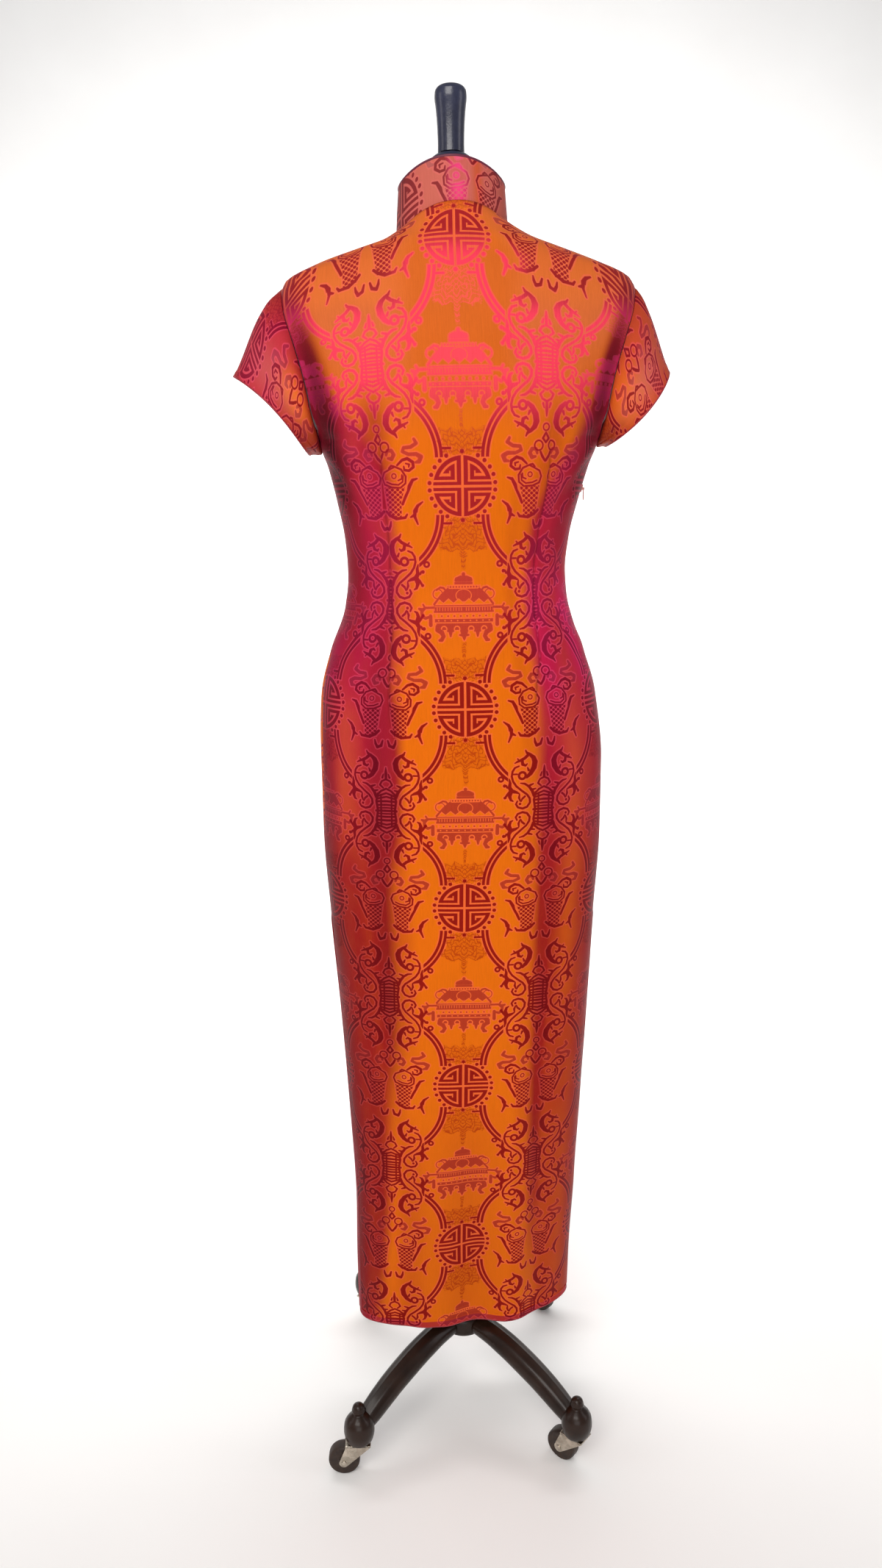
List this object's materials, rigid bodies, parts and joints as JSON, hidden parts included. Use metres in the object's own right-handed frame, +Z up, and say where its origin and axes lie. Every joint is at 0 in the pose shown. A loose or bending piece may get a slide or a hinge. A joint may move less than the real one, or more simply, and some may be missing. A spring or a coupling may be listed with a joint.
{
  "type": "cheongsam dress on a limbless dress form",
  "caption": "Full-length fitted silk brocade cheongsam with a stand collar and short sleeves, worn by a limbless dress form on a cast stand with swivel casters.",
  "frame": {"origin": "on the floor under the axis of the form's pole", "axes": "+Z up; -Y towards the wearer's front; -X towards the wearer's right"},
  "size_m": [0.4891, 0.334, 1.6315],
  "materials": {
    "silk": "shot silk brocade, orange shot with crimson, satin sheen",
    "binding": "crimson silk binding, satin",
    "form_cloth": "black knitted jersey cover, matt",
    "knob_paint": "blue-black gloss enamel over turned wood",
    "cast_paint": "dark brown gloss enamel on cast iron",
    "nickel": "worn nickel plate, satin",
    "wheel_rubber": "hard dark brown rubber, slightly glossy",
    "zip_enamel": "pale pink enamel"
  },
  "bodies": {
    "dress_on_form": {"back_binding": "binding", "back_panel": "silk", "collar": "silk", "collar_binding": "binding", "form_knob": "knob_paint", "form_neck_cap": "knob_paint", "form_torso": "form_cloth", "frog_1": "binding", "frog_2": "binding", "frog_3": "binding", "front_binding": "binding", "front_main": "silk", "front_shoulder": "silk", "placket_binding": "binding", "sleeve_binding_left": "binding", "sleeve_binding_right": "binding", "sleeve_left": "silk", "sleeve_right": "silk", "stand_hub": "cast_paint", "stand_leg_1": "cast_paint", "stand_leg_2": "cast_paint", "stand_leg_3": "cast_paint", "stand_leg_4": "cast_paint", "stand_pole": "cast_paint", "zip_slider": "zip_enamel"},
    "caster_1": {"caster_fork_1": "nickel"},
    "wheel_1": {"caster_wheel_1": "wheel_rubber"},
    "caster_2": {"caster_fork_2": "nickel"},
    "wheel_2": {"caster_wheel_2": "wheel_rubber"},
    "caster_3": {"caster_fork_3": "nickel"},
    "wheel_3": {"caster_wheel_3": "wheel_rubber"},
    "caster_4": {"caster_fork_4": "nickel"},
    "wheel_4": {"caster_wheel_4": "wheel_rubber"},
    "zip_tab": {"zip_pull": "zip_enamel"}
  },
  "joints": [
    {"name": "caster_swivel_1", "type": "hinge", "parent": "dress_on_form", "child": "caster_1", "pos_m": [0.13615, 0.14099, 0.045], "axis": [0, 0, 1], "continuous": true},
    {"name": "caster_spin_1", "type": "hinge", "parent": "caster_1", "child": "wheel_1", "pos_m": [0.15615, 0.14099, 0.02], "axis": [0, 1, 0], "continuous": true},
    {"name": "caster_swivel_2", "type": "hinge", "parent": "dress_on_form", "child": "caster_2", "pos_m": [-0.14099, 0.13615, 0.045], "axis": [0, 0, 1], "continuous": true},
    {"name": "caster_spin_2", "type": "hinge", "parent": "caster_2", "child": "wheel_2", "pos_m": [-0.12567, 0.1233, 0.02], "axis": [0.6428, 0.766, 0], "continuous": true},
    {"name": "caster_swivel_3", "type": "hinge", "parent": "dress_on_form", "child": "caster_3", "pos_m": [-0.13615, -0.14099, 0.045], "axis": [0, 0, 1], "continuous": true},
    {"name": "caster_spin_3", "type": "hinge", "parent": "caster_3", "child": "wheel_3", "pos_m": [-0.12201, -0.15513, 0.02], "axis": [0.7071, 0.7071, 0], "continuous": true},
    {"name": "caster_swivel_4", "type": "hinge", "parent": "dress_on_form", "child": "caster_4", "pos_m": [0.14099, -0.13615, 0.045], "axis": [0, 0, 1], "continuous": true},
    {"name": "caster_spin_4", "type": "hinge", "parent": "caster_4", "child": "wheel_4", "pos_m": [0.13099, -0.15347, 0.02], "axis": [0.866, -0.5, 0], "continuous": true},
    {"name": "zip_tab_hinge", "type": "hinge", "parent": "dress_on_form", "child": "zip_tab", "pos_m": [-0.14736, 0, 1.21611], "axis": [0, 1, 0], "range_deg": [0, 150]}
  ]
}
